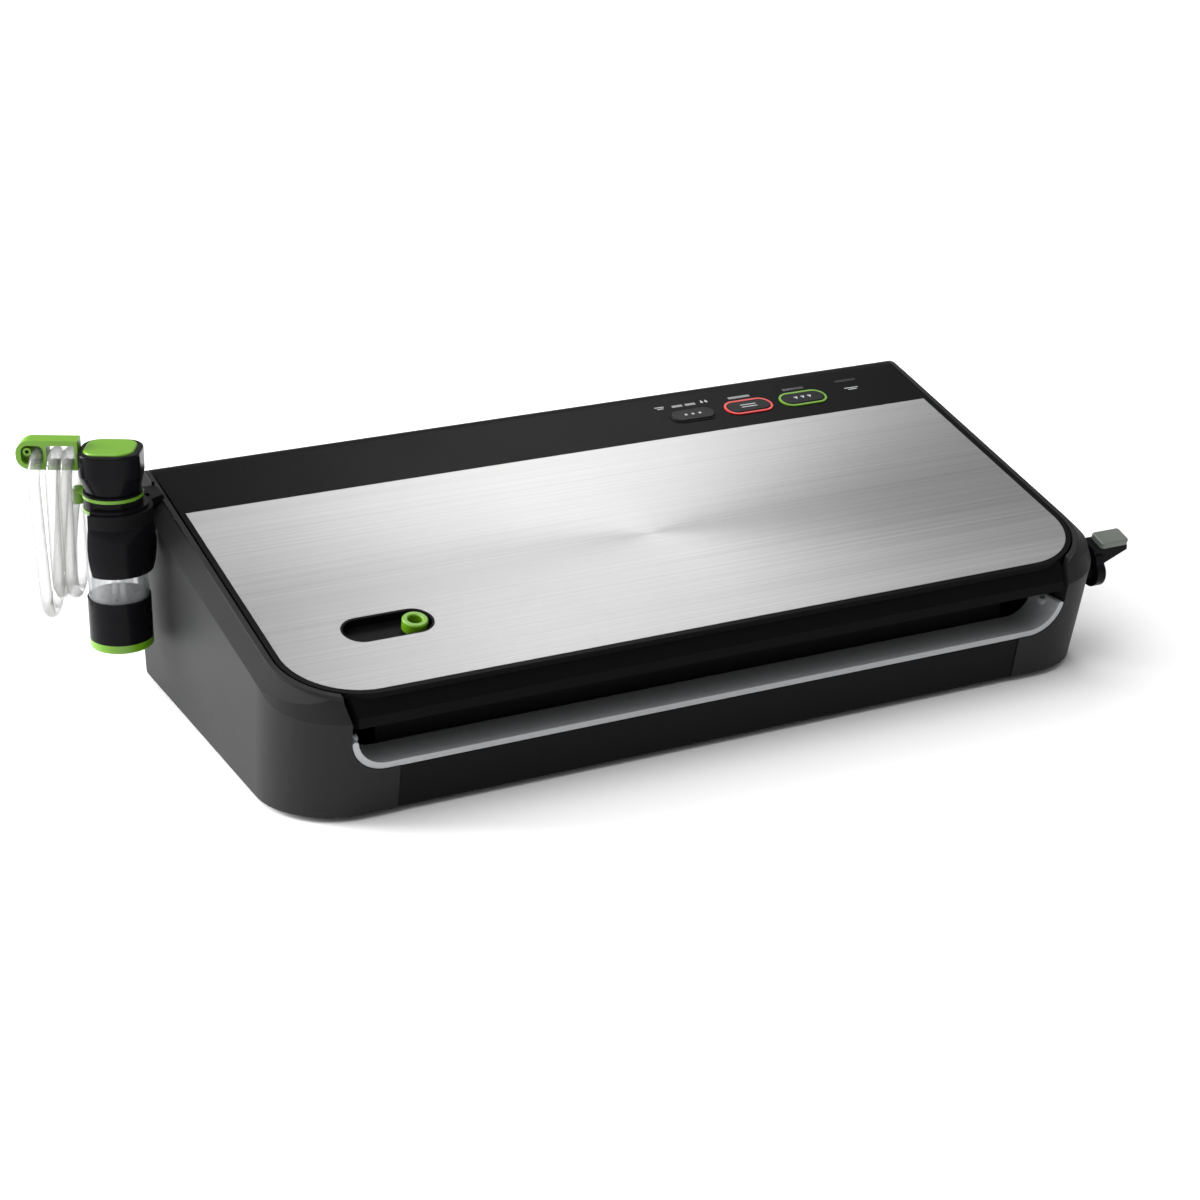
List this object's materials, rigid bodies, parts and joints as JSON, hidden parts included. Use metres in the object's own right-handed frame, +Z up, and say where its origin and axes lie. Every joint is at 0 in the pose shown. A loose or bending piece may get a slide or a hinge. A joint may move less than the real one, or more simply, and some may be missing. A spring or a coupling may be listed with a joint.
{
  "type": "vacuum sealer",
  "caption": "Countertop vacuum sealer with a sloping hinged steel-faced lid, push buttons, latch lever, bag tray and a handheld sealer with a clear hose in a side holder.",
  "frame": {"origin": "bottom centre of the appliance on the surface it stands on, its hose and hose bar left out", "axes": "+X towards the user's right along the lid's length, +Y towards the rear, +Z up"},
  "size_m": [0.5096, 0.2112, 0.1334],
  "materials": {
    "charcoal_plastic": "fine texture",
    "bezel_plastic": "satin",
    "black_gloss": "gloss",
    "black_satin": "satin",
    "brushed_steel": "long brushed grain",
    "tray_grey": "satin",
    "grey_pad": "satin",
    "lime": "satin",
    "red": "satin",
    "green": "satin",
    "clear_plastic": "clear, polished",
    "foam": "closed-cell foam",
    "rubber": "matte",
    "heater": "bright",
    "tape": "woven, coated",
    "screw_steel": "bright",
    "motor_steel": "satin",
    "board_green": "solder mask",
    "iron_core": "varnished",
    "lamp": "satin"
  },
  "bodies": {
    "base": {"base_shell": "charcoal_plastic", "bottom_cover": "black_satin", "feet": "rubber", "bottom_screws": "screw_steel", "front_panel": "black_satin", "bag_tray": "tray_grey", "inner_deck": "black_satin", "hinge_pins": "screw_steel", "drip_tray": "tray_grey", "lower_gasket": "foam", "seal_bar": "motor_steel", "heating_strip": "heater", "heater_tape": "tape", "pump_motor": "motor_steel", "pump_body": "black_satin", "pump_hose": "rubber", "transformer": "iron_core", "power_board": "board_green", "cord_gland": "black_satin", "tool_holder": "black_satin", "tool_cradle": "black_gloss"},
    "lid": {"lid_shell": "black_gloss", "steel_plate": "brushed_steel", "port_inset": "black_satin", "port_fitting": "green", "lid_liner": "black_satin", "upper_gasket": "foam", "pressure_strip": "rubber", "port_tube": "black_satin", "button_board": "board_green", "led_windows": "lamp", "food_surround": "black_satin", "seal_ring": "red", "vac_ring": "green", "lid_screws": "screw_steel", "latch_catch": "black_satin"},
    "food_button": {"food_button": "black_satin"},
    "seal_button": {"seal_button": "black_satin"},
    "vac_button": {"vac_button": "black_satin"},
    "latch": {"latch_lever": "black_gloss", "latch_pad": "grey_pad", "latch_shaft": "black_satin", "latch_hook": "black_satin"},
    "tool": {"tool_head": "black_gloss", "tool_neck": "black_gloss", "tool_bands": "lime", "tool_chamber": "clear_plastic", "tool_inner_tube": "clear_plastic", "tool_tip": "black_gloss", "tip_ring": "lime", "hose_barb": "lime", "hose_adapter": "lime", "hose_coil": "clear_plastic", "hose_loop": "clear_plastic"},
    "tool_button": {"tool_button": "lime"}
  },
  "joints": [
    {"name": "lid_hinge", "type": "hinge", "parent": "base", "child": "lid", "pos_m": [0.0063, 0.091, 0.0919], "axis": [-1, 0, 0], "range_deg": [0, 65]},
    {"name": "latch_turn", "type": "hinge", "parent": "base", "child": "latch", "pos_m": [0.2063, -0.08, 0.0428], "axis": [1, 0, 0], "range_deg": [0, 40]},
    {"name": "food_press", "type": "slide", "parent": "lid", "child": "food_button", "axis": [0, 0.2207, -0.9753], "range_m": [0, 0.0012], "stiffness_N_per_m": 400, "springref_m": -0.0003},
    {"name": "seal_press", "type": "slide", "parent": "lid", "child": "seal_button", "axis": [0, 0.2207, -0.9753], "range_m": [0, 0.0012], "stiffness_N_per_m": 400, "springref_m": -0.0003},
    {"name": "vac_press", "type": "slide", "parent": "lid", "child": "vac_button", "axis": [0, 0.2207, -0.9753], "range_m": [0, 0.0012], "stiffness_N_per_m": 400, "springref_m": -0.0003},
    {"name": "tool_lift", "type": "slide", "parent": "base", "child": "tool", "axis": [0, 0, 1], "range_m": [0, 0.08]},
    {"name": "tool_press", "type": "slide", "parent": "tool", "child": "tool_button", "axis": [0, 0, -1], "range_m": [0, 0.002], "stiffness_N_per_m": 400, "springref_m": -0.0003}
  ]
}
